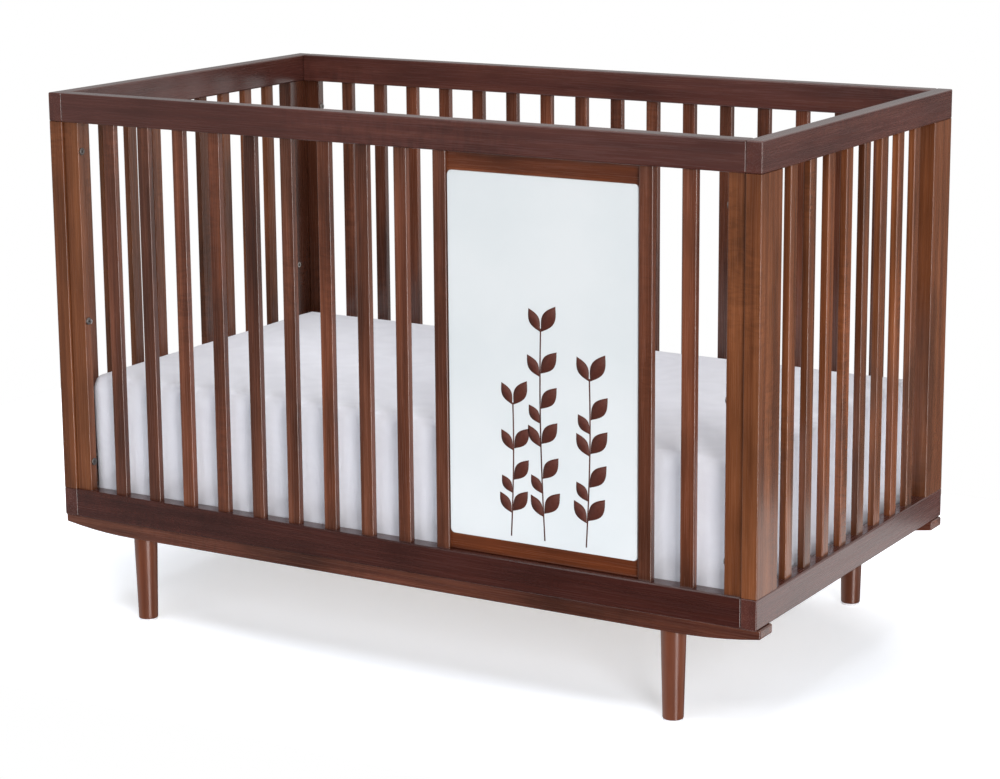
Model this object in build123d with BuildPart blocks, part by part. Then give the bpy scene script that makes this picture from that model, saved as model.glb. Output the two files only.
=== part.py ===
from build123d import *
import os

# Baby crib with four fixed sides on two long skids and four round legs, with a mattress
# support that hangs on pins and can be set at three heights, a mattress and a draped sheet.
# Millimetres. +X runs along the length, to the right as seen from the front, +Y to the back
# and +Z up. The origin is on the floor, at the middle of the crib.

# ---------------------------------------------------------------- driving dimensions
INNER_LENGTH = 1331.0  # clear sleeping space along X
INNER_WIDTH = 711.0  # clear sleeping space along Y, between the rails
FRAME_HEIGHT = 770.0  # underside of the bottom rails to the top of the top rails
GROUND_CLEARANCE = 183.0

RAIL_HEIGHT = 51.0
SIDE_THICKNESS = 30.0  # front and back rails
END_THICKNESS = 28.0  # end rails and posts
POST_WIDTH = 76.0
STILE_WIDTH = 31.5
STILE_DEPTH = 18.0
SLAT_WIDTH = 25.0
SLAT_DEPTH = 13.0
UPRIGHT_INSET = 14.0  # middle of the front and back slats, from the outer face
SLAT_PITCH = 75.7  # along the front and the back
SLAT_PLACES = 16
END_SLATS = 8
EDGE = 2.5  # radius of the eased edges

SLAT_TENON = (19.0, 8.0)
STILE_TENON = (24.0, 10.0)
POST_TENON = (56.0, 12.0)
TENON_LENGTH = 10.0
POST_TENON_LENGTH = 20.0
MORTISE_SPARE = 0.5  # mortise deeper than its tenon
FIT = 0.1  # clearance round tenons, bolts and screws

# The panel takes six slat places, and its stiles stand in the outer two of them.
PANEL_FIRST = 9
PANEL_LAST = 14
BACKING_RECESS = 6.0  # behind the face of the stiles
BACKING_THICKNESS = 6.0
TONGUE_THICKNESS = 3.0
TONGUE_LENGTH = 4.0
BOARD_THICKNESS = 3.0
BOARD_SIDE_GAP = 1.5
BOARD_BOTTOM_GAP = 28.5  # to the bottom rail
BOARD_TOP_GAP = 31.5  # to the top rail
BOARD_CORNER = 8.0
BOARD_EDGE = 0.8

SKID_OVERHANG = 3.5  # past the end frames
SKID_SETBACK = 7.0  # behind the front and back faces
SKID_WIDTH = 46.0
SKID_HEIGHT = 28.0
SKID_TIP_HEIGHT = 15.5
SKID_TAPER_LENGTH = 150.0
SKID_EDGE = 3.0
SKID_SCREWS = 5
SKID_SCREW_SPACING = 250.0
SKID_SCREW_INSET = 18.0  # from the outer face
SCREW_RADIUS = 2.5
SCREW_HEAD_RADIUS = 5.0
SCREW_HEAD_HEIGHT = 4.0
SCREW_REACH = 24.0  # into the bottom rail

LEG_INSET = 159.5  # from the outer face of the end frame
LEG_TOP_RADIUS = 21.0
LEG_FOOT_RADIUS = 17.25
LEG_FOOT_EDGE = 2.0
LEG_BOLT_RADIUS = 4.0
LEG_BOLT_IN_SKID = 24.0
LEG_BOLT_IN_LEG = 34.0
GLIDE_HEIGHT = 4.5
GLIDE_RADIUS = 16.5
GLIDE_EDGE = 1.2
GLIDE_STEM_RADIUS = 3.0
GLIDE_STEM_LENGTH = 12.0

BOLT_HEIGHTS = (103.0, 362.0, 667.0)  # above the underside of the bottom rails
BOLT_RADIUS = 3.0
BOLT_HEAD_RADIUS = 6.5
BOLT_HEAD_HEIGHT = 2.2
BOLT_HEAD_EDGE = 0.8
SOCKET_RADIUS = 2.3  # to the corners of the hexagon
SOCKET_DEPTH = 1.6
THREAD_REACH = 14.0  # of bolts and pins into the posts
INSERT_RADIUS = 5.0
INSERT_LENGTH = 16.0

DECK_TOP = 300.0  # above the floor, at the lowest setting
SUPPORT_LENGTH = 1304.0
SUPPORT_WIDTH = 671.0
SUPPORT_RAIL_WIDTH = 20.0
SUPPORT_RAIL_HEIGHT = 30.0
DECK_SLATS = 11
DECK_PITCH = 118.0
DECK_SLAT_WIDTH = 60.0
DECK_SLAT_THICKNESS = 12.0
DECK_SLAT_LENGTH = 666.0
SUPPORT_EDGE = 2.0

PIN_HEIGHTS = (283.0, 408.0, 533.0)  # above the floor, the three settings
PIN_INSET = 58.0  # from the front and back faces
PIN_NECK_RADIUS = 4.0
PIN_NECK_LENGTH = 3.8
PIN_HEAD_RADIUS = 7.0
PIN_HEAD_HEIGHT = 2.5
BRACKET_THICKNESS = 3.0
BRACKET_GAP = 0.4  # to the post
BRACKET_BOTTOM = 262.0
BRACKET_TOP = 296.0
HOOK_WIDTH = 22.0
HOOK_RADIUS = 4.3  # half of the slot that is open below
FLANGE_LENGTH = 46.0
FLANGE_TOP = 286.0
FLANGE_SCREW_PLACES = (22.0, 38.0)  # from the hook plate's face on the post
FLANGE_SCREW_HEIGHT = 274.0
FLANGE_SCREW_RADIUS = 2.0
FLANGE_SCREW_HEAD_RADIUS = 4.0
FLANGE_SCREW_HEAD_HEIGHT = 2.0
FLANGE_SCREW_REACH = 15.0

MATTRESS_LENGTH = 1310.0
MATTRESS_WIDTH = 692.0
MATTRESS_HEIGHT = 137.0
MATTRESS_CORNER = 17.0
MATTRESS_EDGE = 12.0
MATTRESS_GAP = 0.3  # to the deck, so that the two separate freely
SHEET_THICKNESS = 3.0
SHEET_HEM = 223.0  # lower edge above the floor
VENT_INNER = 313.5  # slit in the sheet's corners, from here along Y
VENT_OUTER = 344.0
VENT_START = 640.0

# ---------------------------------------------------------------- derived places
INNER_X = INNER_LENGTH / 2
INNER_Y = INNER_WIDTH / 2
OUTER_X = INNER_X + END_THICKNESS
OUTER_Y = INNER_Y + SIDE_THICKNESS
BASE = GROUND_CLEARANCE
TOP = BASE + FRAME_HEIGHT
OPEN_BOTTOM = BASE + RAIL_HEIGHT
OPEN_TOP = TOP - RAIL_HEIGHT
OPEN_HEIGHT = OPEN_TOP - OPEN_BOTTOM
OPEN_MIDDLE = (OPEN_BOTTOM + OPEN_TOP) / 2
UPRIGHT_Y = OUTER_Y - UPRIGHT_INSET
STILE_X = INNER_X - STILE_WIDTH / 2
STILE_FACE_X = INNER_X - STILE_WIDTH
END_X = INNER_X + END_THICKNESS / 2
POST_Y = OUTER_Y - POST_WIDTH / 2
SLAT_XS = [(i - (SLAT_PLACES - 1) / 2) * SLAT_PITCH for i in range(SLAT_PLACES)]
FRONT_SLAT_XS = SLAT_XS[:PANEL_FIRST] + SLAT_XS[PANEL_LAST + 1:]
PANEL_STILE_XS = [SLAT_XS[PANEL_FIRST], SLAT_XS[PANEL_LAST]]
PANEL_X = sum(PANEL_STILE_XS) / 2
PANEL_WIDTH = PANEL_STILE_XS[1] - PANEL_STILE_XS[0] - SLAT_WIDTH
BACKING_FRONT_Y = -UPRIGHT_Y - SLAT_DEPTH / 2 + BACKING_RECESS
BACKING_Y = BACKING_FRONT_Y + BACKING_THICKNESS / 2
END_CLEAR = 2 * (OUTER_Y - POST_WIDTH)
END_PITCH = (END_CLEAR + SLAT_WIDTH) / (END_SLATS + 1)
END_SLAT_YS = [(i - (END_SLATS - 1) / 2) * END_PITCH for i in range(END_SLATS)]
SKID_X = OUTER_X + SKID_OVERHANG
SKID_Y = OUTER_Y - SKID_SETBACK - SKID_WIDTH / 2
SKID_BOTTOM = BASE - SKID_HEIGHT
SKID_SCREW_XS = [(i - (SKID_SCREWS - 1) / 2) * SKID_SCREW_SPACING for i in range(SKID_SCREWS)]
SKID_SCREW_Y = OUTER_Y - SKID_SCREW_INSET
LEG_X = OUTER_X - LEG_INSET
LEG_POINTS = [(sx * LEG_X, sy * SKID_Y) for sx in (-1, 1) for sy in (-1, 1)]
BOLT_POINTS = [(sy * UPRIGHT_Y, BASE + z) for sy in (-1, 1) for z in BOLT_HEIGHTS]
PIN_Y = OUTER_Y - PIN_INSET
PIN_POINTS = [(sy * PIN_Y, PIN_HEIGHTS[0]) for sy in (-1, 1)]
SETTING_POINTS = [(sy * PIN_Y, z) for sy in (-1, 1) for z in PIN_HEIGHTS]
DECK_BOTTOM = DECK_TOP - DECK_SLAT_THICKNESS
DECK_XS = [(i - (DECK_SLATS - 1) / 2) * DECK_PITCH for i in range(DECK_SLATS)]
SUPPORT_X = SUPPORT_LENGTH / 2
SUPPORT_Y = SUPPORT_WIDTH / 2
HOOK_X = INNER_X - BRACKET_GAP  # the hook plate's face on the post
MATTRESS_BOTTOM = DECK_TOP + MATTRESS_GAP
MATTRESS_TOP = MATTRESS_BOTTOM + MATTRESS_HEIGHT

SIDES = {"front": -1, "back": 1}
ENDS = {"left": -1, "right": 1}

os.makedirs("parts", exist_ok=True)


def write(piece, name):
    """Labels a finished piece and writes it to the file that has its node's name."""
    piece.label = name
    export_step(piece, f"parts/{name}.step")


def plane_x(x):
    """Plane across +X at x, on which a point is (y, z)."""
    return Plane.YZ.offset(x)


def plane_y(y):
    """Plane at y on which a point is (x, z), and which extrudes towards -Y."""
    return Plane.XZ.offset(-y)


# ---------------------------------------------------------------- rails
def side_rail(level, side):
    """Front or back rail, with mortises towards the slats and, below, the skid's screw holes."""
    bottom = BASE if level == "bottom" else OPEN_TOP
    inward = 1 if level == "bottom" else -1
    sign = SIDES[side]
    slat_xs = FRONT_SLAT_XS + PANEL_STILE_XS if side == "front" else SLAT_XS
    with BuildPart() as rail:
        with BuildSketch(Plane.XY.offset(bottom)):
            with Locations((0, sign * (OUTER_Y - SIDE_THICKNESS / 2))):
                Rectangle(INNER_LENGTH, SIDE_THICKNESS)
        extrude(amount=RAIL_HEIGHT)
        fillet(rail.edges(), EDGE)
        with BuildSketch(Plane.XY.offset(OPEN_BOTTOM if level == "bottom" else OPEN_TOP)):
            with Locations(*[(x, sign * UPRIGHT_Y) for x in slat_xs]):
                Rectangle(SLAT_TENON[0] + 2 * FIT, SLAT_TENON[1] + 2 * FIT)
            with Locations(*[(end * STILE_X, sign * UPRIGHT_Y) for end in (-1, 1)]):
                Rectangle(STILE_TENON[0] + 2 * FIT, STILE_TENON[1] + 2 * FIT)
        extrude(amount=-inward * (TENON_LENGTH + MORTISE_SPARE), mode=Mode.SUBTRACT)
        if level == "bottom":
            with BuildSketch(Plane.XY.offset(BASE)):
                with Locations(*[(x, sign * SKID_SCREW_Y) for x in SKID_SCREW_XS]):
                    Circle(SCREW_RADIUS + FIT)
            extrude(amount=SCREW_REACH + MORTISE_SPARE, mode=Mode.SUBTRACT)
    write(rail.part, f"{side}_{level}_rail")


def end_rail(level, end):
    """Rail of an end frame, which runs the full depth over or under the posts."""
    bottom = BASE if level == "bottom" else OPEN_TOP
    inward = 1 if level == "bottom" else -1
    x = ENDS[end] * END_X
    with BuildPart() as rail:
        with BuildSketch(Plane.XY.offset(bottom)):
            with Locations((x, 0)):
                Rectangle(END_THICKNESS, 2 * OUTER_Y)
        extrude(amount=RAIL_HEIGHT)
        fillet(rail.edges(), EDGE)
        face = Plane.XY.offset(OPEN_BOTTOM if level == "bottom" else OPEN_TOP)
        with BuildSketch(face):
            with Locations(*[(x, y) for y in END_SLAT_YS]):
                Rectangle(SLAT_TENON[1] + 2 * FIT, SLAT_TENON[0] + 2 * FIT)
        extrude(amount=-inward * (TENON_LENGTH + MORTISE_SPARE), mode=Mode.SUBTRACT)
        with BuildSketch(face):
            with Locations((x, -POST_Y), (x, POST_Y)):
                Rectangle(POST_TENON[1] + 2 * FIT, POST_TENON[0] + 2 * FIT)
        extrude(amount=-inward * (POST_TENON_LENGTH + MORTISE_SPARE), mode=Mode.SUBTRACT)
    write(rail.part, f"{end}_{level}_rail")


# ---------------------------------------------------------------- slats, stiles and posts
def slats(name, points, size, tenon):
    """Upright slats at the given points, with eased edges and a tenon at each end."""
    with BuildPart() as group:
        with BuildSketch(Plane.XY.offset(OPEN_BOTTOM)):
            with Locations(*points):
                RectangleRounded(size[0], size[1], EDGE)
        extrude(amount=OPEN_HEIGHT)
        with BuildSketch(Plane.XY.offset(OPEN_MIDDLE)):
            with Locations(*points):
                Rectangle(tenon[0], tenon[1])
        extrude(amount=OPEN_HEIGHT / 2 + TENON_LENGTH, both=True)
    write(group.part, name)


def panel_stile(name, x, inward):
    """Slat beside the panel, with a groove for the backing's tongue on its inward side."""
    with BuildPart() as stile:
        with BuildSketch(Plane.XY.offset(OPEN_BOTTOM)):
            with Locations((x, -UPRIGHT_Y)):
                RectangleRounded(SLAT_WIDTH, SLAT_DEPTH, EDGE)
        extrude(amount=OPEN_HEIGHT)
        with BuildSketch(Plane.XY.offset(OPEN_MIDDLE)):
            with Locations((x, -UPRIGHT_Y)):
                Rectangle(*SLAT_TENON)
        extrude(amount=OPEN_HEIGHT / 2 + TENON_LENGTH, both=True)
        with BuildSketch(Plane.XY.offset(OPEN_BOTTOM)):
            with Locations((x + inward * SLAT_WIDTH / 2, BACKING_Y)):
                Rectangle(2 * (TONGUE_LENGTH + FIT), TONGUE_THICKNESS + 2 * FIT)
        extrude(amount=OPEN_HEIGHT, mode=Mode.SUBTRACT)
    write(stile.part, name)


def corner_stile(side, end):
    """Stile that ends the front or back frame and is bolted to the post beside it."""
    place = (ENDS[end] * STILE_X, SIDES[side] * UPRIGHT_Y)
    with BuildPart() as stile:
        with BuildSketch(Plane.XY.offset(OPEN_BOTTOM)):
            with Locations(place):
                RectangleRounded(STILE_WIDTH, STILE_DEPTH, EDGE)
        extrude(amount=OPEN_HEIGHT)
        with BuildSketch(Plane.XY.offset(OPEN_MIDDLE)):
            with Locations(place):
                Rectangle(*STILE_TENON)
        extrude(amount=OPEN_HEIGHT / 2 + TENON_LENGTH, both=True)
        with BuildSketch(plane_x(ENDS[end] * STILE_FACE_X)):
            with Locations(*[(place[1], BASE + z) for z in BOLT_HEIGHTS]):
                Circle(BOLT_RADIUS + FIT)
        extrude(amount=ENDS[end] * STILE_WIDTH, mode=Mode.SUBTRACT)
    write(stile.part, f"{side}_stile_{end}")


def post(side, end):
    """Corner post, with bores for the inserts of the frame bolts and of the support pins."""
    place = (ENDS[end] * END_X, SIDES[side] * POST_Y)
    bores = [(SIDES[side] * UPRIGHT_Y, BASE + z) for z in BOLT_HEIGHTS]
    bores += [(SIDES[side] * PIN_Y, z) for z in PIN_HEIGHTS]
    with BuildPart() as upright:
        with BuildSketch(Plane.XY.offset(OPEN_BOTTOM)):
            with Locations(place):
                RectangleRounded(END_THICKNESS, POST_WIDTH, EDGE)
        extrude(amount=OPEN_HEIGHT)
        with BuildSketch(Plane.XY.offset(OPEN_MIDDLE)):
            with Locations(place):
                Rectangle(POST_TENON[1], POST_TENON[0])
        extrude(amount=OPEN_HEIGHT / 2 + POST_TENON_LENGTH, both=True)
        with BuildSketch(plane_x(ENDS[end] * INNER_X)):
            with Locations(*bores):
                Circle(INSERT_RADIUS)
        extrude(amount=ENDS[end] * INSERT_LENGTH, mode=Mode.SUBTRACT)
    write(upright.part, f"{end}_{side}_post")


for level in ("bottom", "top"):
    for side in SIDES:
        side_rail(level, side)
    for end in ENDS:
        end_rail(level, end)

for side in SIDES:
    for end in ENDS:
        corner_stile(side, end)
        post(side, end)

SIDE_SECTION = (SLAT_WIDTH, SLAT_DEPTH)
for number, x in enumerate(FRONT_SLAT_XS, start=1):
    slats(f"front_slat_{number}", [(x, -UPRIGHT_Y)], SIDE_SECTION, SLAT_TENON)
slats("back_slats", [(x, UPRIGHT_Y) for x in SLAT_XS], SIDE_SECTION, SLAT_TENON)
for end, sign in ENDS.items():
    points = [(sign * END_X, y) for y in END_SLAT_YS]
    slats(f"{end}_slats", points, SIDE_SECTION[::-1], SLAT_TENON[::-1])

# ---------------------------------------------------------------- panel
panel_stile("panel_stile_left", PANEL_STILE_XS[0], 1)
panel_stile("panel_stile_right", PANEL_STILE_XS[1], -1)

with BuildPart() as backing:
    with BuildSketch(plane_y(BACKING_FRONT_Y + BACKING_THICKNESS)):
        with Locations((PANEL_X, OPEN_MIDDLE)):
            Rectangle(PANEL_WIDTH, OPEN_HEIGHT)
    extrude(amount=BACKING_THICKNESS)
    fillet(backing.edges().filter_by(Axis.X), EDGE)
    with BuildSketch(plane_y(BACKING_Y)):
        with Locations((PANEL_X, OPEN_MIDDLE)):
            Rectangle(PANEL_WIDTH + 2 * TONGUE_LENGTH, OPEN_HEIGHT - 2 * EDGE)
    extrude(amount=TONGUE_THICKNESS / 2, both=True)
write(backing.part, "panel_backing")

with BuildPart() as board:
    with BuildSketch(plane_y(BACKING_FRONT_Y)):
        with Locations((PANEL_X, OPEN_MIDDLE + (BOARD_BOTTOM_GAP - BOARD_TOP_GAP) / 2)):
            board_height = OPEN_HEIGHT - BOARD_BOTTOM_GAP - BOARD_TOP_GAP
            RectangleRounded(PANEL_WIDTH - 2 * BOARD_SIDE_GAP, board_height, BOARD_CORNER)
    extrude(amount=BOARD_THICKNESS)
    fillet(board.faces().sort_by(Axis.Y)[0].edges(), BOARD_EDGE)
write(board.part, "panel_board")


# ---------------------------------------------------------------- skids, legs and glides
def skid(side):
    """Long plank under a bottom rail, whose underside rises in an arc towards each end."""
    sign = SIDES[side]
    arc_start = SKID_X - SKID_TAPER_LENGTH
    tip_bottom = BASE - SKID_TIP_HEIGHT
    with BuildPart() as plank:
        with BuildSketch(plane_y(sign * SKID_Y)):
            with BuildLine():
                Line((-arc_start, SKID_BOTTOM), (arc_start, SKID_BOTTOM))
                TangentArc((arc_start, SKID_BOTTOM), (SKID_X, tip_bottom), tangent=(1, 0))
                Polyline((SKID_X, tip_bottom), (SKID_X, BASE), (-SKID_X, BASE), (-SKID_X, tip_bottom))
                TangentArc((-arc_start, SKID_BOTTOM), (-SKID_X, tip_bottom), tangent=(-1, 0))
            make_face()
        extrude(amount=SKID_WIDTH / 2, both=True)
        fillet(plank.edges(), SKID_EDGE)
        with BuildSketch(Plane.XY.offset(SKID_BOTTOM)):
            with Locations(*[(x, sign * SKID_SCREW_Y) for x in SKID_SCREW_XS]):
                Circle(SCREW_RADIUS + FIT)
        extrude(amount=SKID_HEIGHT, mode=Mode.SUBTRACT)
        with BuildSketch(Plane.XY.offset(SKID_BOTTOM)):
            with Locations(*[(x, sign * SKID_SCREW_Y) for x in SKID_SCREW_XS]):
                Circle(SCREW_HEAD_RADIUS + FIT)
        extrude(amount=SCREW_HEAD_HEIGHT + FIT, mode=Mode.SUBTRACT)
        with BuildSketch(Plane.XY.offset(SKID_BOTTOM)):
            with Locations((-LEG_X, sign * SKID_Y), (LEG_X, sign * SKID_Y)):
                Circle(LEG_BOLT_RADIUS + FIT)
        extrude(amount=LEG_BOLT_IN_SKID + MORTISE_SPARE, mode=Mode.SUBTRACT)
    write(plank.part, f"skid_{side}")


def leg(side, end):
    """Round leg that tapers to the floor, bored for its bolt above and its glide below."""
    place = (ENDS[end] * LEG_X, SIDES[side] * SKID_Y)
    height = SKID_BOTTOM - GLIDE_HEIGHT
    with BuildPart() as turned:
        with Locations((*place, GLIDE_HEIGHT + height / 2)):
            Cone(LEG_FOOT_RADIUS, LEG_TOP_RADIUS, height)
        fillet(turned.edges().sort_by(Axis.Z)[0], LEG_FOOT_EDGE)
        with BuildSketch(Plane.XY.offset(SKID_BOTTOM)):
            with Locations(place):
                Circle(LEG_BOLT_RADIUS + FIT)
        extrude(amount=-LEG_BOLT_IN_LEG - MORTISE_SPARE, mode=Mode.SUBTRACT)
        with BuildSketch(Plane.XY.offset(GLIDE_HEIGHT)):
            with Locations(place):
                Circle(GLIDE_STEM_RADIUS + FIT)
        extrude(amount=GLIDE_STEM_LENGTH + MORTISE_SPARE, mode=Mode.SUBTRACT)
    write(turned.part, f"leg_{end}_{side}")


for side in SIDES:
    skid(side)
    for end in ENDS:
        leg(side, end)

with BuildPart() as glides:
    with BuildSketch(Plane.XY):
        with Locations(*LEG_POINTS):
            Circle(GLIDE_RADIUS)
    extrude(amount=GLIDE_HEIGHT)
    fillet(glides.edges().group_by(Axis.Z)[0], GLIDE_EDGE)
    with BuildSketch(Plane.XY.offset(GLIDE_HEIGHT)):
        with Locations(*LEG_POINTS):
            Circle(GLIDE_STEM_RADIUS)
    extrude(amount=GLIDE_STEM_LENGTH)
write(glides.part, "leg_glides")

with BuildPart() as leg_bolts:
    with BuildSketch(Plane.XY.offset(SKID_BOTTOM - LEG_BOLT_IN_LEG)):
        with Locations(*LEG_POINTS):
            Circle(LEG_BOLT_RADIUS)
    extrude(amount=LEG_BOLT_IN_LEG + LEG_BOLT_IN_SKID)
write(leg_bolts.part, "leg_bolts")

with BuildPart() as skid_screws:
    screw_points = [(x, sign * SKID_SCREW_Y) for x in SKID_SCREW_XS for sign in (-1, 1)]
    with BuildSketch(Plane.XY.offset(SKID_BOTTOM)):
        with Locations(*screw_points):
            Circle(SCREW_HEAD_RADIUS)
    extrude(amount=SCREW_HEAD_HEIGHT)
    with BuildSketch(Plane.XY.offset(SKID_BOTTOM + SCREW_HEAD_HEIGHT)):
        with Locations(*screw_points):
            Circle(SCREW_RADIUS)
    extrude(amount=SKID_HEIGHT - SCREW_HEAD_HEIGHT + SCREW_REACH)
write(skid_screws.part, "skid_screws")

# ---------------------------------------------------------------- frame bolts and inserts
with BuildPart() as frame_bolts:
    for sign in (-1, 1):
        with BuildSketch(plane_x(sign * STILE_FACE_X)):
            with Locations(*BOLT_POINTS):
                Circle(BOLT_HEAD_RADIUS)
        extrude(amount=-sign * BOLT_HEAD_HEIGHT)
    head_face_x = STILE_FACE_X - BOLT_HEAD_HEIGHT
    rims = [edge for edge in frame_bolts.edges().filter_by(GeomType.CIRCLE)
            if abs(abs(edge.arc_center.X) - head_face_x) < FIT]
    fillet(rims, BOLT_HEAD_EDGE)
    for sign in (-1, 1):
        with BuildSketch(plane_x(sign * STILE_FACE_X)):
            with Locations(*BOLT_POINTS):
                Circle(BOLT_RADIUS)
        extrude(amount=sign * (STILE_WIDTH + THREAD_REACH))
        with BuildSketch(plane_x(sign * head_face_x)):
            with Locations(*BOLT_POINTS):
                RegularPolygon(SOCKET_RADIUS, 6)
        extrude(amount=sign * SOCKET_DEPTH, mode=Mode.SUBTRACT)
write(frame_bolts.part, "frame_bolts")


def inserts(name, points):
    """Threaded inserts let into the inner faces of all four posts."""
    with BuildPart() as sleeves:
        for sign in (-1, 1):
            with BuildSketch(plane_x(sign * INNER_X)):
                with Locations(*points):
                    Circle(INSERT_RADIUS)
                    Circle(BOLT_RADIUS + FIT, mode=Mode.SUBTRACT)
            extrude(amount=sign * INSERT_LENGTH)
    write(sleeves.part, name)


inserts("bolt_inserts", BOLT_POINTS)
inserts("setting_inserts", SETTING_POINTS)

# ---------------------------------------------------------------- mattress support
with BuildPart() as pins:
    for sign in (-1, 1):
        neck_x = INNER_X - PIN_NECK_LENGTH
        with BuildSketch(plane_x(sign * INNER_X)):
            with Locations(*PIN_POINTS):
                Circle(BOLT_RADIUS)
        extrude(amount=sign * THREAD_REACH)
        with BuildSketch(plane_x(sign * INNER_X)):
            with Locations(*PIN_POINTS):
                Circle(PIN_NECK_RADIUS)
        extrude(amount=-sign * PIN_NECK_LENGTH)
        with BuildSketch(plane_x(sign * neck_x)):
            with Locations(*PIN_POINTS):
                Circle(PIN_HEAD_RADIUS)
        extrude(amount=-sign * PIN_HEAD_HEIGHT)
        with BuildSketch(plane_x(sign * (neck_x - PIN_HEAD_HEIGHT))):
            with Locations(*PIN_POINTS):
                RegularPolygon(SOCKET_RADIUS, 6)
        extrude(amount=sign * SOCKET_DEPTH, mode=Mode.SUBTRACT)
write(pins.part, "support_pins")


def support_side_rail(side):
    """Long rail of the support, bored for the screws of its two brackets."""
    sign = SIDES[side]
    screw_xs = [HOOK_X - d for d in FLANGE_SCREW_PLACES]
    with BuildPart() as rail:
        with BuildSketch(Plane.XY.offset(DECK_BOTTOM - SUPPORT_RAIL_HEIGHT)):
            with Locations((0, sign * (SUPPORT_Y - SUPPORT_RAIL_WIDTH / 2))):
                Rectangle(SUPPORT_LENGTH, SUPPORT_RAIL_WIDTH)
        extrude(amount=SUPPORT_RAIL_HEIGHT)
        fillet(rail.edges().filter_by(Axis.X), SUPPORT_EDGE)
        with BuildSketch(plane_y(sign * SUPPORT_Y)):
            with Locations(*[(s * x, FLANGE_SCREW_HEIGHT) for s in (-1, 1) for x in screw_xs]):
                Circle(FLANGE_SCREW_RADIUS + FIT)
        extrude(amount=sign * (FLANGE_SCREW_REACH + MORTISE_SPARE), mode=Mode.SUBTRACT)
    write(rail.part, f"support_rail_{side}")


def support_end_rail(end):
    """Short rail of the support, between the two long ones."""
    with BuildPart() as rail:
        with BuildSketch(Plane.XY.offset(DECK_BOTTOM - SUPPORT_RAIL_HEIGHT)):
            with Locations((ENDS[end] * (SUPPORT_X - SUPPORT_RAIL_WIDTH / 2), 0)):
                Rectangle(SUPPORT_RAIL_WIDTH, SUPPORT_WIDTH - 2 * SUPPORT_RAIL_WIDTH)
        extrude(amount=SUPPORT_RAIL_HEIGHT)
        fillet(rail.edges().filter_by(Axis.Y), SUPPORT_EDGE)
    write(rail.part, f"support_rail_{end}")


def bracket(side, end):
    """Steel angle: a plate that hooks over the pin from above and a flange on the side rail."""
    across = SIDES[side]
    along = ENDS[end]
    plate_x = HOOK_X - BRACKET_THICKNESS / 2
    plate_outer_y = SUPPORT_Y + BRACKET_THICKNESS
    flange_y = SUPPORT_Y + BRACKET_THICKNESS / 2
    with BuildPart() as angle:
        with BuildSketch(Plane.XY.offset(BRACKET_BOTTOM)):
            with Locations((along * plate_x, across * (plate_outer_y - HOOK_WIDTH / 2))):
                Rectangle(BRACKET_THICKNESS, HOOK_WIDTH)
        extrude(amount=BRACKET_TOP - BRACKET_BOTTOM)
        with BuildSketch(Plane.XY.offset(BRACKET_BOTTOM)):
            with Locations((along * (HOOK_X - FLANGE_LENGTH / 2), across * flange_y)):
                Rectangle(FLANGE_LENGTH, BRACKET_THICKNESS)
        extrude(amount=FLANGE_TOP - BRACKET_BOTTOM)
        slot_height = PIN_HEIGHTS[0] - BRACKET_BOTTOM
        with BuildSketch(plane_x(along * HOOK_X)):
            with Locations((across * PIN_Y, PIN_HEIGHTS[0])):
                Circle(HOOK_RADIUS)
            with Locations((across * PIN_Y, PIN_HEIGHTS[0] - slot_height / 2)):
                Rectangle(2 * HOOK_RADIUS, slot_height)
        extrude(amount=-along * BRACKET_THICKNESS, mode=Mode.SUBTRACT)
        with BuildSketch(plane_y(across * plate_outer_y)):
            with Locations(*[(along * (HOOK_X - d), FLANGE_SCREW_HEIGHT) for d in FLANGE_SCREW_PLACES]):
                Circle(FLANGE_SCREW_RADIUS + FIT)
        extrude(amount=across * BRACKET_THICKNESS, mode=Mode.SUBTRACT)
    write(angle.part, f"bracket_{end}_{side}")


for side in SIDES:
    support_side_rail(side)
    for end in ENDS:
        bracket(side, end)
for end in ENDS:
    support_end_rail(end)

with BuildPart() as deck:
    with BuildSketch(Plane.XY.offset(DECK_BOTTOM)):
        with Locations(*[(x, 0) for x in DECK_XS]):
            Rectangle(DECK_SLAT_WIDTH, DECK_SLAT_LENGTH)
    extrude(amount=DECK_SLAT_THICKNESS)
    fillet(deck.edges().filter_by(Axis.Y), SUPPORT_EDGE)
write(deck.part, "deck_slats")

with BuildPart() as bracket_screws:
    screw_xs = [s * (HOOK_X - d) for s in (-1, 1) for d in FLANGE_SCREW_PLACES]
    for sign in (-1, 1):
        head_y = sign * (SUPPORT_Y + BRACKET_THICKNESS)
        with BuildSketch(plane_y(head_y)):
            with Locations(*[(x, FLANGE_SCREW_HEIGHT) for x in screw_xs]):
                Circle(FLANGE_SCREW_HEAD_RADIUS)
        extrude(amount=-sign * FLANGE_SCREW_HEAD_HEIGHT)
        with BuildSketch(plane_y(head_y)):
            with Locations(*[(x, FLANGE_SCREW_HEIGHT) for x in screw_xs]):
                Circle(FLANGE_SCREW_RADIUS)
        extrude(amount=sign * (BRACKET_THICKNESS + FLANGE_SCREW_REACH))
write(bracket_screws.part, "bracket_screws")

# ---------------------------------------------------------------- mattress and sheet
with BuildPart() as mattress:
    with BuildSketch(Plane.XY.offset(MATTRESS_BOTTOM)):
        RectangleRounded(MATTRESS_LENGTH, MATTRESS_WIDTH, MATTRESS_CORNER)
    extrude(amount=MATTRESS_HEIGHT)
    fillet(mattress.edges().group_by(Axis.Z)[-1], MATTRESS_EDGE)
    fillet(mattress.edges().group_by(Axis.Z)[0], MATTRESS_EDGE)
write(mattress.part, "mattress")

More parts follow.
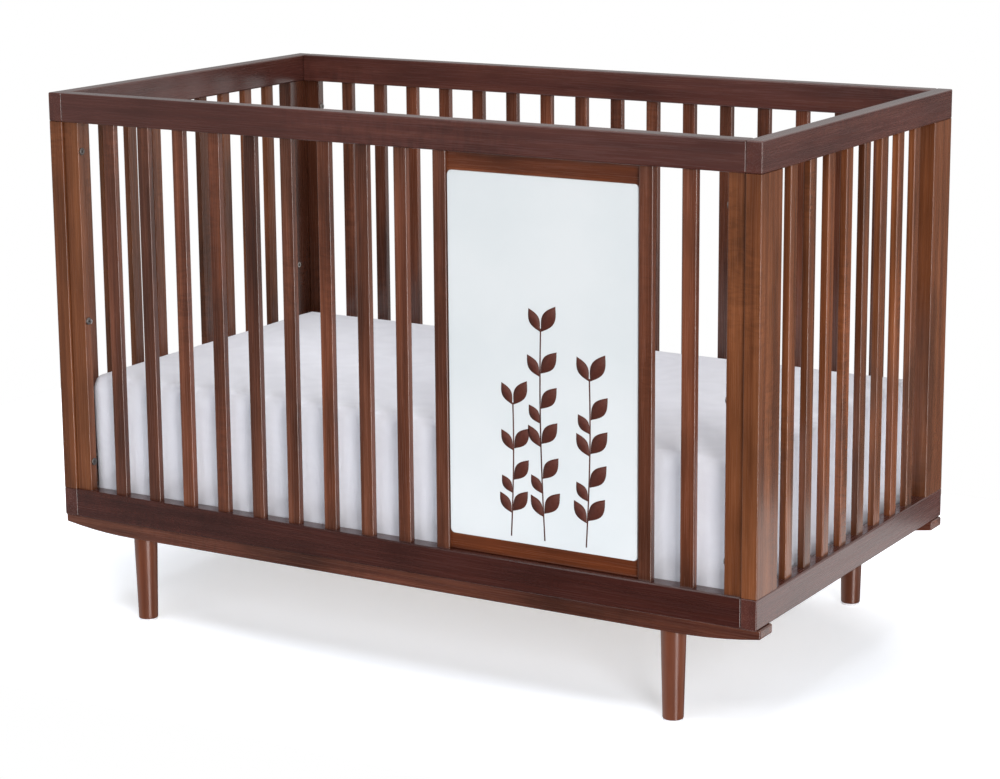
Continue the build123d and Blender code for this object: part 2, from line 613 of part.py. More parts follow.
with BuildPart() as sheet:
    with BuildSketch(Plane.XY.offset(SHEET_HEM)):
        outer_length = MATTRESS_LENGTH + 2 * SHEET_THICKNESS
        outer_width = MATTRESS_WIDTH + 2 * SHEET_THICKNESS
        RectangleRounded(outer_length, outer_width, MATTRESS_CORNER + SHEET_THICKNESS)
    extrude(amount=MATTRESS_TOP + SHEET_THICKNESS - SHEET_HEM)
    fillet(sheet.edges().group_by(Axis.Z)[-1], MATTRESS_EDGE + SHEET_THICKNESS)
    offset(amount=-SHEET_THICKNESS, openings=sheet.faces().sort_by(Axis.Z)[0])
    vent_width = VENT_OUTER - VENT_INNER
    vent_middle = (VENT_OUTER + VENT_INNER) / 2
    vent_length = outer_length / 2 - VENT_START
    vent_x = VENT_START + vent_length / 2
    with BuildSketch(Plane.XY.offset(SHEET_HEM)):
        with Locations(*[(sx * vent_x, sy * vent_middle) for sx in (-1, 1) for sy in (-1, 1)]):
            Rectangle(vent_length, vent_width)
    extrude(amount=DECK_TOP - SHEET_HEM, mode=Mode.SUBTRACT)
write(sheet.part, "sheet")
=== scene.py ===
import bpy
import bmesh
import math
from mathutils import Matrix, Vector, noise


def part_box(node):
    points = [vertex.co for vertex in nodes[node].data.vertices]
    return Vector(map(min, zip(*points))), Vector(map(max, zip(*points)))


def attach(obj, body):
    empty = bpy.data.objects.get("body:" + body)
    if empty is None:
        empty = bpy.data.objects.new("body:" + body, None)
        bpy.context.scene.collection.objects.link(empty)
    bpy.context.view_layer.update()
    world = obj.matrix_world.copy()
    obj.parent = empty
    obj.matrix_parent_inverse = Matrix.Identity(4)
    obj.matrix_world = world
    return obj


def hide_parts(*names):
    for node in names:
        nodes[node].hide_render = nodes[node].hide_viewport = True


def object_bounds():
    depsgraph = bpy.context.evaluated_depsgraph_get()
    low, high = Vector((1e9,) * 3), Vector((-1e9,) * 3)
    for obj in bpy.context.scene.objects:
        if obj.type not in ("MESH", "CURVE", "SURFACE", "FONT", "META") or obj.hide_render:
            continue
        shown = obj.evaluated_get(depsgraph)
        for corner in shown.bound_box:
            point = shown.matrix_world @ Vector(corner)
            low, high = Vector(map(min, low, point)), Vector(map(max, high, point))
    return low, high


# Looks of a baby crib: lacquered wood, a printed white board, a mattress and a draped sheet.
# Lengths are in metres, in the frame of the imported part.

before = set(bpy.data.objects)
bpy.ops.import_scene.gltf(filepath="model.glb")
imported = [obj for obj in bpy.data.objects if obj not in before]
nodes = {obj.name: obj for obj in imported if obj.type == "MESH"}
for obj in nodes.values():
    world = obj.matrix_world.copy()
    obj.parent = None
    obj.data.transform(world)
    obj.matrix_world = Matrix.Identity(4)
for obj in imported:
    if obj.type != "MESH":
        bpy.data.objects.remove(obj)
cad_low, cad_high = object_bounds()

# ---------------------------------------------------------------- places read from the frame
CENTRE = (cad_low + cad_high) / 2
LENGTH = cad_high.x - cad_low.x
SLAT_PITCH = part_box("front_slat_2")[0].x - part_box("front_slat_1")[0].x
END_SLAT_GAPS = 7  # between the eight slats of an end

# ---------------------------------------------------------------- camera
CAMERA_AZIMUTH = math.radians(30.955)
CAMERA_ELEVATION = math.radians(12.257)
CAMERA_DISTANCE = 3.4092 * LENGTH
LOOK_YAW = math.radians(-30.947)
LOOK_PITCH = math.radians(11.894)
LOOK_ROLL = math.radians(0.424)
LENS = 95.6
SHIFT_Y = -0.05


def make_camera():
    """Long lens, raised to just above the top rails and turned a little past the middle."""
    data = bpy.data.cameras.new("camera")
    data.lens = LENS
    data.sensor_width = 36
    data.shift_y = SHIFT_Y
    data.clip_end = 200
    camera = bpy.data.objects.new("camera", data)
    bpy.context.scene.collection.objects.link(camera)
    back = Vector((math.sin(CAMERA_AZIMUTH) * math.cos(CAMERA_ELEVATION),
                   -math.cos(CAMERA_AZIMUTH) * math.cos(CAMERA_ELEVATION),
                   math.sin(CAMERA_ELEVATION)))
    forward = Vector((math.sin(LOOK_YAW) * math.cos(LOOK_PITCH),
                      math.cos(LOOK_YAW) * math.cos(LOOK_PITCH),
                      -math.sin(LOOK_PITCH)))
    level = Vector((math.cos(LOOK_YAW), -math.sin(LOOK_YAW), 0))
    down = forward.cross(level)
    right = math.cos(LOOK_ROLL) * level + math.sin(LOOK_ROLL) * down
    up = math.sin(LOOK_ROLL) * level - math.cos(LOOK_ROLL) * down
    turn = Matrix((right, up, -forward)).transposed().to_4x4()
    camera.matrix_world = Matrix.Translation(CENTRE + back * CAMERA_DISTANCE) @ turn
    bpy.context.scene.camera = camera


make_camera()

# ---------------------------------------------------------------- floor and light
FLOOR_LOW = Vector((-1.9, -0.76, 0))
FLOOR_HIGH = Vector((2.0, 1.15, 0))
FLOOR_COLOUR = (0.74, 0.79, 0.87, 1)
FLOOR_GLOW_NEAR = 0.36
FLOOR_GLOW_FAR = 1.0
FLOOR_GLOW_SPREAD = (1 / 0.72, 1 / 0.36, 1)  # the glow starts to rise on an ellipse this size

# Directions from which the room is lighter than elsewhere.
BEHIND = (0.45, 0.89, 0)
BACK_RIGHT = (0.75, 0.66, 0)
FRONT_RIGHT_LOW = (0.83, -0.51, -0.22)
WHITE = (1, 1, 1)

# Name, place, target, size, power and colour of each lamp.
LAMPS = [
    ("main", (5.3, -5.3, 3.0), (0.0, 0, 0.5), (2.2, 2.4), 322, (1, 0.975, 0.95)),
    ("card", (1.25, 0.45, 0.004), (1.25, 0.45, 1), (0.9, 0.9), 2.8, WHITE),
    ("top", (0.0, -1.0, 3.5), (0, -0.2, 0.2), (3.0, 1.8), 62, WHITE),
    ("front", (-0.6, -4.2, 1.5), (-0.2, -0.2, 0.45), (3.0, 1.2), 47, (0.93, 0.96, 1)),
]


def area_light(name, place, target, size, power, colour):
    """Soft box at place, aimed at target, that the camera doesn't see."""
    data = bpy.data.lights.new(name, "AREA")
    data.shape = "RECTANGLE"
    data.size, data.size_y = size
    data.energy = power
    data.color = colour
    light = bpy.data.objects.new(name, data)
    bpy.context.scene.collection.objects.link(light)
    light.location = place
    light.rotation_euler = (Vector(target) - Vector(place)).to_track_quat("-Z", "Y").to_euler()
    light.visible_camera = False


def make_floor():
    """Sheet of white paper that glows a little more further from the crib."""
    mesh = bpy.data.meshes.new("floor")
    low, high = FLOOR_LOW, FLOOR_HIGH
    corners = [(low.x, low.y, 0), (high.x, low.y, 0), (high.x, high.y, 0), (low.x, high.y, 0)]
    mesh.from_pydata(corners, [], [(0, 1, 2, 3)])
    floor = bpy.data.objects.new("floor", mesh)
    bpy.context.scene.collection.objects.link(floor)
    floor.visible_glossy = False
    material, tree, shader = new_material("floor", Roughness=0.8, Base_Color=FLOOR_COLOUR)
    shader.inputs["Specular IOR Level"].default_value = 0.1
    place = stretched(tree, FLOOR_GLOW_SPREAD)
    away = add(tree, "VectorMath", {0: place}, operation="LENGTH").outputs["Value"]
    glow = map_range(tree, away, 1.0, 1.8, FLOOR_GLOW_NEAR, FLOOR_GLOW_FAR)
    tree.links.new(glow, shader.inputs["Emission Strength"])
    shader.inputs["Emission Color"].default_value = (1, 1, 1, 1)
    mesh.materials.append(material)


def make_world():
    """White to the camera; otherwise a dim room, lighter overhead and behind the crib."""
    world = bpy.data.worlds.new("studio")
    bpy.context.scene.world = world
    world.use_nodes = True
    tree = world.node_tree
    place = add(tree, "TexCoord").outputs["Generated"]
    direction = add(tree, "SeparateXYZ", {0: place}).outputs

    def facing(way):
        return add(tree, "VectorMath", {0: place, 1: way}, operation="DOT_PRODUCT").outputs["Value"]

    def join(first, second, operation="MAXIMUM"):
        return add(tree, "Math", {0: first, 1: second}, operation=operation).outputs[0]

    height = map_range(tree, direction["Z"], -0.1, 0.4, 0.08, 0.75)
    behind = map_range(tree, facing(BEHIND), -0.5, 0.9, 0.15, 1.3)
    back_light = join(height, behind, "MULTIPLY")
    left_light = map_range(tree, direction["X"], -0.48, -0.75, 0.0, 0.6)
    right_light = map_range(tree, facing(BACK_RIGHT), 0.935, 0.985, 0.0, 2.2)
    edge_light = map_range(tree, facing(FRONT_RIGHT_LOW), 0.972, 0.986, 0.0, 13.0)
    side_light = join(join(right_light, left_light), edge_light)
    room = join(back_light, side_light)
    seen = add(tree, "LightPath").outputs["Is Camera Ray"]
    strength = join(seen, room)
    background = tree.nodes["Background"]
    tree.links.new(strength, background.inputs["Strength"])
    background.inputs["Color"].default_value = (1, 1, 1, 1)


# ---------------------------------------------------------------- materials
def new_material(name, **sockets):
    """Principled material with the given socket values, and its node tree."""
    material = bpy.data.materials.new(name)
    material.use_nodes = True
    shader = material.node_tree.nodes["Principled BSDF"]
    for socket, value in sockets.items():
        shader.inputs[socket.replace("_", " ")].default_value = value
    return material, material.node_tree, shader


def add(tree, kind, values=None, **properties):
    """Node of this kind, with socket values by name or index, which may be other sockets."""
    made = tree.nodes.new("ShaderNode" + kind)
    for key, value in properties.items():
        setattr(made, key, value)
    for key, value in (values or {}).items():
        if isinstance(value, bpy.types.NodeSocket):
            tree.links.new(value, made.inputs[key])
        else:
            made.inputs[key].default_value = value
    return made


def map_range(tree, value, low, high, to_low, to_high):
    """Value stretched from one range to another and kept inside it."""
    limits = {"Value": value, "From Min": low, "From Max": high, "To Min": to_low, "To Max": to_high}
    return add(tree, "MapRange", limits).outputs["Result"]


def ramp(tree, factor, stops):
    """Colour ramp through (position, colour) stops; a plain number is a grey."""
    made = add(tree, "ValToRGB", {"Fac": factor})
    elements = made.color_ramp.elements
    while len(elements) < len(stops):
        elements.new(0.5)
    for element, (position, colour) in zip(elements, stops):
        element.position = position
        element.color = (*colour, 1) if hasattr(colour, "__len__") else (colour, colour, colour, 1)
    return made.outputs["Color"]


def mix(tree, kind, factor, a, b):
    """Mix of two colours, either of which may be a socket."""
    made = add(tree, "Mix", data_type="RGBA", blend_type=kind)
    for index, value in ((0, factor), (6, a), (7, b)):
        if isinstance(value, bpy.types.NodeSocket):
            tree.links.new(value, made.inputs[index])
        elif index:
            made.inputs[index].default_value = (*value, 1)
        else:
            made.inputs[index].default_value = value
    return made.outputs[2]


def stretched(tree, scale):
    """Object coordinates, scaled along each axis."""
    place = add(tree, "TexCoord").outputs["Object"]
    return add(tree, "VectorMath", {0: place, 1: scale}, operation="MULTIPLY").outputs[0]


def speckle(tree, scale, detail=2.0, **sockets):
    """Noise over the object coordinates, stretched by scale along each axis."""
    values = {"Vector": stretched(tree, scale), "Scale": 1.0, "Detail": detail}
    return add(tree, "TexNoise", {**values, **sockets}).outputs["Fac"]


def cell(tree, axis, pitch, start):
    """A different random number for each board that stands at a multiple of pitch from start."""
    place = add(tree, "TexCoord").outputs["Object"]
    along = add(tree, "SeparateXYZ", {0: place}).outputs[axis]
    shifted = add(tree, "Math", {0: along, 1: start}, operation="SUBTRACT").outputs[0]
    index = add(tree, "Math", {0: shifted, 1: pitch}, operation="DIVIDE").outputs[0]
    whole = add(tree, "Math", {0: index}, operation="ROUND").outputs[0]
    return add(tree, "TexWhiteNoise", {"W": whole}, noise_dimensions="1D").outputs["Value"]


make_floor()
make_world()
for lamp in LAMPS:
    area_light(*lamp)
bpy.context.scene.view_settings.view_transform = "Standard"

# Three tones of each stain, from the dark streaks of the grain to the light ones.
UPRIGHT_STAIN = ((0.074, 0.022, 0.008), (0.118, 0.037, 0.014), (0.186, 0.065, 0.026))
SLAT_STAIN = ((0.056, 0.017, 0.009), (0.090, 0.028, 0.014), (0.148, 0.051, 0.027))
RAIL_STAIN = ((0.046, 0.014, 0.011), (0.068, 0.021, 0.016), (0.096, 0.032, 0.022))
# Painted shade: the bottom rails get darker tones than the top rails, standing in for the shade low
# down.
LOW_RAIL_PAINTED_SHADE = ((0.028, 0.006, 0.0045), (0.042, 0.010, 0.007), (0.068, 0.017, 0.010))
LEG_STAIN = ((0.085, 0.020, 0.007), (0.128, 0.033, 0.012), (0.180, 0.051, 0.019))
SKID_STAIN = ((0.056, 0.016, 0.010), (0.083, 0.025, 0.014), (0.125, 0.040, 0.021))
# Painted shade: the back left corner is in shade, so its post and stile get darker tones than the other
# uprights to stand in for it.
CORNER_PAINTED_SHADE = ((0.038, 0.011, 0.005), (0.060, 0.018, 0.009), (0.092, 0.030, 0.015))
BACKING_STAIN = ((0.074, 0.017, 0.0055), (0.115, 0.028, 0.009), (0.170, 0.047, 0.016))


def wood(name, axis, wood_tones, board=None, contrast=1.0, figure=0.5, matt=0.0, gloss=1.0):
    """Stained, lacquered hardwood whose grain runs along axis (0, 1 or 2)."""
    material, tree, shader = new_material(name, Coat_Weight=0.30 * gloss, Coat_Roughness=0.14 + matt)
    shader.inputs["Specular IOR Level"].default_value = 0.42 * gloss
    # wood_tones are three tones of the stain; for the bottom rails and the back left corner they also
    # hold painted shade.
    middle = wood_tones[1]
    dark = tuple(m + contrast * (c - m) for c, m in zip(wood_tones[0], middle))
    light = tuple(m + contrast * (c - m) for c, m in zip(wood_tones[2], middle))

    def scale(across, along):
        return tuple(along if i == axis else across for i in range(3))

    def noise_at(across, along, detail, distortion=0.0):
        return speckle(tree, scale(across, along), detail, Distortion=distortion)

    growth = noise_at(75, 1.4, 5.0, 0.5)
    fibres = noise_at(520, 11, 5.0)
    blotch = noise_at(20, 5.5, 3.0)
    curl = noise_at(30, 120, 2.0, 1.2)
    where = noise_at(12, 3.0, 1.0)
    pores = add(tree, "TexVoronoi", {"Vector": stretched(tree, scale(1000, 36)), "Scale": 1.0},
                feature="F1").outputs["Distance"]

    colour = ramp(tree, growth, [(0.28, dark), (0.50, middle), (0.74, light)])
    streaks = ramp(tree, fibres, [(0.32, 0.55), (0.55, 1.0), (0.75, 1.3)])
    colour = mix(tree, "MULTIPLY", 0.26 * contrast, colour, streaks)
    clouds = ramp(tree, blotch, [(0.30, 0.60), (0.50, 1.0), (0.74, 1.32)])
    colour = mix(tree, "MULTIPLY", contrast, colour, clouds)
    bands = ramp(tree, curl, [(0.36, 0.66), (0.5, 1.0), (0.64, 1.30)])
    colour = mix(tree, "MULTIPLY", ramp(tree, where, [(0.55, 0.0), (0.68, figure)]), colour, bands)
    colour = mix(tree, "MULTIPLY", 0.28, colour, ramp(tree, pores, [(0.05, 0.35), (0.22, 1.0)]))
    if board:
        luck = cell(tree, *board)
        tone = ramp(tree, luck, [(0.0, (0.76, 0.74, 0.74)), (0.5, (1, 1, 1)), (1.0, (1.26, 1.18, 1.08))])
        colour = mix(tree, "MULTIPLY", 1.0, colour, tone)
    tree.links.new(colour, shader.inputs["Base Color"])

    rough = map_range(tree, fibres, 0.3, 0.7, 0.20 + matt, 0.32 + matt)
    tree.links.new(rough, shader.inputs["Roughness"])
    relief = mix(tree, "MIX", 0.4, ramp(tree, fibres, [(0.3, 0.0), (0.7, 1.0)]),
                 ramp(tree, pores, [(0.05, 0.0), (0.22, 1.0)]))
    bump = add(tree, "Bump", {"Height": relief, "Strength": 0.12, "Distance": 0.0002})
    tree.links.new(bump.outputs["Normal"], shader.inputs["Normal"])
    return material


def painted_board():
    """White painted fibreboard, with the faint orange peel of sprayed paint."""
    material, tree, shader = new_material("white_board", Roughness=0.35, Coat_Weight=0.15,
                                          Coat_Roughness=0.2)
    mottle = speckle(tree, (6, 6, 6), 3.0)
    colour = ramp(tree, mottle, [(0.35, (0.612, 0.648, 0.668)), (0.65, (0.650, 0.678, 0.696))])
    tree.links.new(colour, shader.inputs["Base Color"])
    peel = speckle(tree, (700, 700, 700))
    bump = add(tree, "Bump", {"Height": peel, "Strength": 0.15, "Distance": 0.0002})
    tree.links.new(bump.outputs["Normal"], shader.inputs["Normal"])
    return material


def cloth(name, colour, shadow):
    """Plain woven cotton: crossing threads, slight slubs and a soft sheen."""
    material, tree, shader = new_material(name, Roughness=0.88, Sheen_Weight=0.25, Sheen_Roughness=0.5)
    place = add(tree, "TexCoord").outputs["Object"]

    def threads(direction):
        return add(tree, "TexWave", {"Vector": place, "Scale": 700.0, "Distortion": 0.6, "Detail": 1.0},
                   wave_type="BANDS", bands_direction=direction).outputs["Fac"]

    warp, weft, rise = threads("X"), threads("Y"), threads("Z")
    flat_weave = add(tree, "Math", {0: warp, 1: weft}, operation="MULTIPLY").outputs[0]
    weave = add(tree, "Math", {0: flat_weave, 1: rise}, operation="ADD").outputs[0]
    slub = speckle(tree, (30, 30, 30), 5.0)
    tint = ramp(tree, slub, [(0.3, shadow), (0.7, colour)])
    tint = mix(tree, "MULTIPLY", 0.25, tint, ramp(tree, weave, [(0.2, 0.86), (1.0, 1.0)]))
    tree.links.new(tint, shader.inputs["Base Color"])
    bump = add(tree, "Bump", {"Height": weave, "Strength": 0.25, "Distance": 0.0002})
    creases = speckle(tree, (9, 9, 9), 6.0, Roughness=0.62)
    crease_bump = add(tree, "Bump", {"Height": creases, "Strength": 0.25, "Distance": 0.004,
                                     "Normal": bump.outputs["Normal"]})
    tree.links.new(crease_bump.outputs["Normal"], shader.inputs["Normal"])
    return material


def metal(name, colour, roughness, metallic=1.0):
    """Plated or coated steel with fine scratches and a little grime."""
    material, tree, shader = new_material(name, Metallic=metallic)
    scratch = speckle(tree, (900, 900, 120), 4.0)
    grime = speckle(tree, (160, 160, 160), 3.0)
    dark = tuple(0.6 * c for c in colour)
    tree.links.new(ramp(tree, grime, [(0.35, dark), (0.6, colour)]), shader.inputs["Base Color"])
    rough = map_range(tree, scratch, 0.3, 0.7, roughness - 0.08, roughness + 0.12)
    tree.links.new(rough, shader.inputs["Roughness"])
    bump = add(tree, "Bump", {"Height": scratch, "Strength": 0.2, "Distance": 0.0001})
    tree.links.new(bump.outputs["Normal"], shader.inputs["Normal"])
    return material


def plastic(name, colour, roughness):
    """Moulded plastic with a fine grained surface and small scuffs."""
    material, tree, shader = new_material(name, Roughness=roughness)
    scuffs = speckle(tree, (260, 260, 260), 4.0)
    dark = tuple(0.82 * c for c in colour)
    tree.links.new(ramp(tree, scuffs, [(0.3, dark), (0.5, colour)]), shader.inputs["Base Color"])
    bump = add(tree, "Bump", {"Height": scuffs, "Strength": 0.2, "Distance": 0.0002})
    tree.links.new(bump.outputs["Normal"], shader.inputs["Normal"])
    return material


def softwood():
    """Bare planed softwood of the mattress support, grain along Y."""
    material, tree, shader = new_material("support_wood", Roughness=0.6)
    growth = speckle(tree, (60, 1.5, 60), 4.0, Distortion=0.6)
    tones = [(0.3, (0.36, 0.22, 0.11)), (0.5, (0.55, 0.38, 0.21)), (0.7, (0.66, 0.49, 0.30))]
    colour = ramp(tree, growth, tones)
    tree.links.new(colour, shader.inputs["Base Color"])
    bump = add(tree, "Bump", {"Height": growth, "Strength": 0.3, "Distance": 0.0004})
    tree.links.new(bump.outputs["Normal"], shader.inputs["Normal"])
    return material


def paint_nodes():
    """Gives every CAD node that stays visible its material."""
    slat_low, slat_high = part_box("front_slat_1")
    slat_width = slat_high.x - slat_low.x
    slat_start = slat_low.x + slat_width / 2
    end_low, end_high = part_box("left_slats")
    end_pitch = (end_high.y - end_low.y - slat_width) / END_SLAT_GAPS
    end_start = end_low.y + slat_width / 2
    along_x = wood("wood_along_x", 0, RAIL_STAIN, None, 0.6)
    # Painted shade: darker wood for the front and back bottom rails.
    low_along_x = wood("wood_low_along_x", 0, LOW_RAIL_PAINTED_SHADE, None, 0.6)
    along_y = wood("wood_along_y", 1, RAIL_STAIN, None, 0.6)
    leg_wood = wood("wood_leg", 2, LEG_STAIN, None, 0.6, 0.5, 0.12)
    stile = wood("wood_stile", 2, SLAT_STAIN, None, 0.8)
    skid_wood = wood("wood_skid", 0, SKID_STAIN)
    backing = wood("wood_backing", 0, BACKING_STAIN)
    upright = wood("wood_upright", 2, UPRIGHT_STAIN, None, 0.8, gloss=0.65)
    # Painted shade: darker wood for the back left post and stile.
    corner = wood("wood_painted_shade_corner", 2, CORNER_PAINTED_SHADE, None, 0.8)
    slat = wood("wood_slat", 2, SLAT_STAIN, (0, SLAT_PITCH, slat_start))
    end_slat = wood("wood_end_slat", 2, UPRIGHT_STAIN, (1, end_pitch, end_start), gloss=0.75)
    steel = metal("steel", (0.62, 0.62, 0.60), 0.35)
    dark_steel = metal("bolt_steel", (0.20, 0.18, 0.17), 0.35)
    coated = metal("bracket_steel", (0.05, 0.05, 0.055), 0.45, 0.3)
    glide = plastic("glide_plastic", (0.86, 0.85, 0.88), 0.4)
    bare = softwood()
    board = painted_board()
    for name, node in nodes.items():
        if name in ("front_top_rail", "back_top_rail"):
            material = along_x
        elif name in ("front_bottom_rail", "back_bottom_rail"):
            material = low_along_x
        elif name.startswith("panel_stile"):
            material = stile
        elif name.startswith(("leg_left", "leg_right")):
            material = leg_wood
        elif name.endswith("_rail") and not name.startswith("support"):
            material = along_y
        elif name.startswith("skid_s"):
            material = steel
        elif name.startswith("skid"):
            material = skid_wood
        elif name == "panel_backing":
            material = backing
        elif name == "panel_board":
            material = board
        elif name.startswith(("front_slat", "back_slats")):
            material = slat
        elif name in ("left_slats", "right_slats"):
            material = end_slat
        # The back left post and stile take the wood with painted shade.
        elif name in ("left_back_post", "back_stile_left"):
            material = corner
        elif "stile" in name or name.endswith("_post"):
            material = upright
        elif name == "leg_glides":
            material = glide
        elif name == "frame_bolts":
            material = dark_steel
        elif name.startswith(("bracket_left", "bracket_right")):
            material = coated
        elif name.startswith(("deck_slats", "support_rail")):
            material = bare
        else:
            material = steel
        node.data.materials.clear()
        node.data.materials.append(material)


paint_nodes()

# ---------------------------------------------------------------- sheet and mattress
SHEET_STEP = 0.009
SHEET_THICK = 0.0012
SHEET_ROLL = 0.036
SHEET_CORNER = 0.019
SHEET_INSET = 0.0015
HEM_HEIGHT = 0.018
HEM_THICK = 0.0006
FOLD_DEPTH = 0.0036
RUMPLE_DEPTH = 0.0012
PAD_STEP = 0.012
PAD_CORNER = 0.017
PAD_INSET = 0.0040
QUILT_DEPTH = 0.002
QUILT_WAVES = 38


def box_skin(low, high, step, radius, roll, bottom):
    """Quads over a box: its top and sides, and its bottom if asked for. Corners are rounded by
    radius in plan, and the top rolls over to the sides within a height of roll."""
    mesh = bmesh.new()
    counts = [max(2, round((high[i] - low[i]) / step)) for i in range(3)]
    made = {}

    def vertex(i, j, k):
        if (i, j, k) not in made:
            spot = Vector(low[a] + (high[a] - low[a]) * n / counts[a] for a, n in enumerate((i, j, k)))
            floor = low[2] + (roll if bottom else 0)
            inner = Vector((min(max(spot.x, low[0] + radius), high[0] - radius),
                            min(max(spot.y, low[1] + radius), high[1] - radius),
                            min(max(spot.z, floor), high[2] - roll)))
            out = spot - inner
            out.z *= radius / roll
            if out.length > 0:
                out = out.normalized() * radius
                out.z *= roll / radius
                spot = inner + out
            made[(i, j, k)] = mesh.verts.new(spot)
        return made[(i, j, k)]

    def side(fixed, value, flip):
        a, b = [x for x in range(3) if x != fixed]
        for m in range(counts[a]):
            for n in range(counts[b]):
                corners = []
                for p, q in ((m, n), (m + 1, n), (m + 1, n + 1), (m, n + 1)):
                    index = [0, 0, 0]
                    index[fixed], index[a], index[b] = value, p, q
                    corners.append(vertex(*index))
                mesh.faces.new(corners[::-1] if flip else corners)

    side(2, counts[2], False)
    side(1, 0, False)
    side(1, counts[1], True)
    side(0, 0, True)
    side(0, counts[0], False)
    if bottom:
        side(2, 0, True)
    return mesh


def finish_piece(mesh, name, material, body):
    """Turns a bmesh into a smooth-shaded object that rides on a body."""
    data = bpy.data.meshes.new(name)
    mesh.to_mesh(data)
    mesh.free()
    data.polygons.foreach_set("use_smooth", [True] * len(data.polygons))
    data.materials.append(material)
    piece = bpy.data.objects.new(name, data)
    bpy.context.scene.collection.objects.link(piece)
    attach(piece, body)
    return piece


def make_sheet():
    """Sheet draped over the mattress, slit at its corners round the support's brackets."""
    low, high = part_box("sheet")
    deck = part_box("deck_slats")[1].z
    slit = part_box("right_front_post")[1].y
    mesh = box_skin(low, high, SHEET_STEP, SHEET_CORNER, SHEET_ROLL, False)
    doomed = [face for face in mesh.faces
              if abs(face.calc_center_median().y) > abs(slit)
              and abs(face.calc_center_median().x) > high.x - 0.6 * SHEET_CORNER
              and face.calc_center_median().z < deck
              and abs(face.normal.x) > 0.7]
    bmesh.ops.delete(mesh, geom=doomed, context="FACES")
    mesh.normal_update()
    for vert in mesh.verts:
        down = max(0.0, (high.z - SHEET_ROLL - vert.co.z) / (high.z - low.z))
        around = vert.co.x + 2.3 * vert.co.y
        fold = noise.noise(Vector((around * 9.0, down * 1.1, 3.0)))
        fold += 0.45 * noise.noise(Vector((around * 21.0, down * 2.0, 8.0)))
        rumple = noise.noise(vert.co * 6.0) + 0.5 * noise.noise(vert.co * 15.0)
        side_push = FOLD_DEPTH * (0.3 + 0.7 * down) * (1.2 * fold - 0.3)
        top_push = RUMPLE_DEPTH * rumple
        hem = HEM_THICK if vert.co.z < low.z + HEM_HEIGHT else 0
        push = (side_push if down > 0 else 0) + top_push - SHEET_INSET + hem
        vert.co += vert.normal * push
    fabric = cloth("sheet_fabric", (0.85, 0.865, 0.94), (0.815, 0.83, 0.91))
    piece = finish_piece(mesh, "sheet_cloth", fabric, "mattress")
    solid = piece.modifiers.new("thickness", "SOLIDIFY")
    solid.thickness = SHEET_THICK
    solid.offset = -1
    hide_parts("sheet")
    return piece


def make_mattress():
    """Foam mattress in quilted ticking, all but hidden by the sheet."""
    low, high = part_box("mattress")
    mesh = box_skin(low, high, PAD_STEP, PAD_CORNER, SHEET_ROLL, True)
    mesh.normal_update()
    for vert in mesh.verts:
        puff = abs(math.sin(vert.co.x * QUILT_WAVES) * math.sin(vert.co.y * QUILT_WAVES))
        quilt = puff if abs(vert.normal.z) > 0.7 else 1
        vert.co -= vert.normal * (PAD_INSET + QUILT_DEPTH * (1 - quilt))
    ticking = cloth("mattress_cover", (0.80, 0.80, 0.82), (0.74, 0.74, 0.77))
    piece = finish_piece(mesh, "mattress_pad", ticking, "mattress")
    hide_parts("mattress")
    return piece


make_sheet()
make_mattress()

# ---------------------------------------------------------------- printed motif
PRINT_THICK = 0.0002
STEM_WIDTH = 0.0024


def leaf_outline(base, angle, length, width):
    """Pointed oval leaf from its base, as points in the board's plane."""
    ahead = Vector((math.sin(angle), math.cos(angle)))
    beside = Vector((ahead.y, -ahead.x))
    points = []
    steps = 14
    for side in (1, -1):
        for n in range(steps):
            t = n / steps if side > 0 else 1 - n / steps
            bulge = math.sin(math.pi * t) ** 1.05
            points.append(base + ahead * length * t + beside * side * bulge * width / 2)
    return points


def stem_outline(foot, height, sway, steps=24):
    """Thin stem that sways gently as it climbs, and a function for places along it."""
    def at(t):
        return foot + Vector((sway * math.sin(2.2 * t), height * t))

    left = [at(n / steps) + Vector((-STEM_WIDTH / 2, 0)) for n in range(steps + 1)]
    right = [at(1 - n / steps) + Vector((STEM_WIDTH / 2, 0)) for n in range(steps + 1)]
    return left + right, at


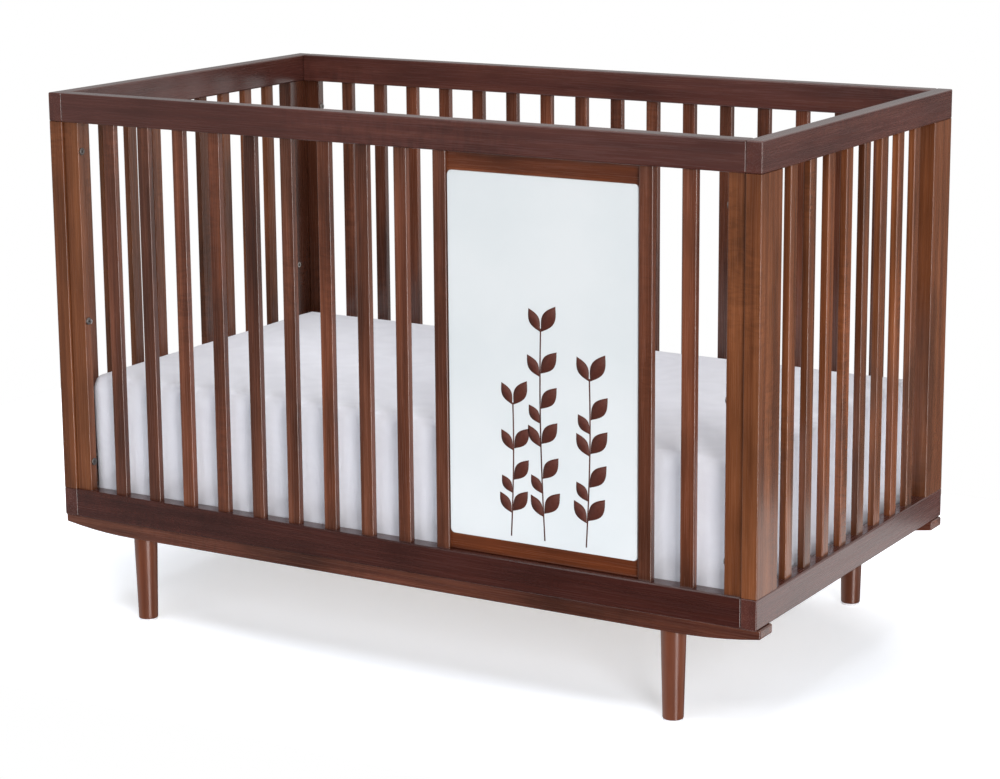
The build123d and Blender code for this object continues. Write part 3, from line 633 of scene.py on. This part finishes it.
def make_print():
    """Three plain sprigs of leaves, printed on the white board."""
    low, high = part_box("panel_board")
    front = low.y - PRINT_THICK
    width, height = high.x - low.x, high.z - low.z
    outlines = []
    sprigs = [  # foot across the board, height, sway, first leaf, spacing, leaf length
        (0.335, 0.37, 0.005, 0.19, 0.235, 0.046),
        (0.515, 0.58, -0.008, 0.13, 0.165, 0.048),
        (0.735, 0.46, 0.007, 0.16, 0.20, 0.050),
    ]
    for across, tall, sway, first, spacing, size in sprigs:
        foot = Vector((low.x + across * width, low.z + 0.010))
        outline, at = stem_outline(foot, tall * height, sway)
        outlines.append(outline)
        place, pair = first, True
        right, left = Vector((0.0014, 0)), Vector((-0.0014, 0))
        while place < 0.88:
            outlines.append(leaf_outline(at(place) + right, 0.66, size, 0.50 * size))
            back, angle, share, breadth = (0.015, -0.58, 0.86, 0.40)
            if not pair:
                back, angle, share, breadth = (spacing * 0.42, -0.60, 0.74, 0.38)
            outlines.append(leaf_outline(at(place - back) + left, angle, share * size, breadth * size))
            place += spacing
            pair = not pair
        outlines.append(leaf_outline(at(0.985) + left, -0.52, 0.88 * size, 0.40 * size))
        outlines.append(leaf_outline(at(0.985) + right, 0.54, 1.06 * size, 0.50 * size))
    mesh = bmesh.new()
    for outline in outlines:
        face = mesh.faces.new([mesh.verts.new((p.x, front, p.y)) for p in outline])
        face.normal_update()
        if face.normal.y > 0:
            face.normal_flip()
        made = bmesh.ops.extrude_face_region(mesh, geom=[face])
        moved = [v for v in made["geom"] if isinstance(v, bmesh.types.BMVert)]
        bmesh.ops.translate(mesh, verts=moved, vec=(0, PRINT_THICK, 0))
    material, tree, shader = new_material("board_print", Roughness=0.55)
    shader.inputs["Specular IOR Level"].default_value = 0.25
    patchy = speckle(tree, (240, 240, 240), 4.0)
    ink = ramp(tree, patchy, [(0.3, (0.062, 0.014, 0.008)), (0.7, (0.085, 0.020, 0.012))])
    tree.links.new(ink, shader.inputs["Base Color"])
    return finish_piece(mesh, "leaf_print", material, "frame")


make_print()
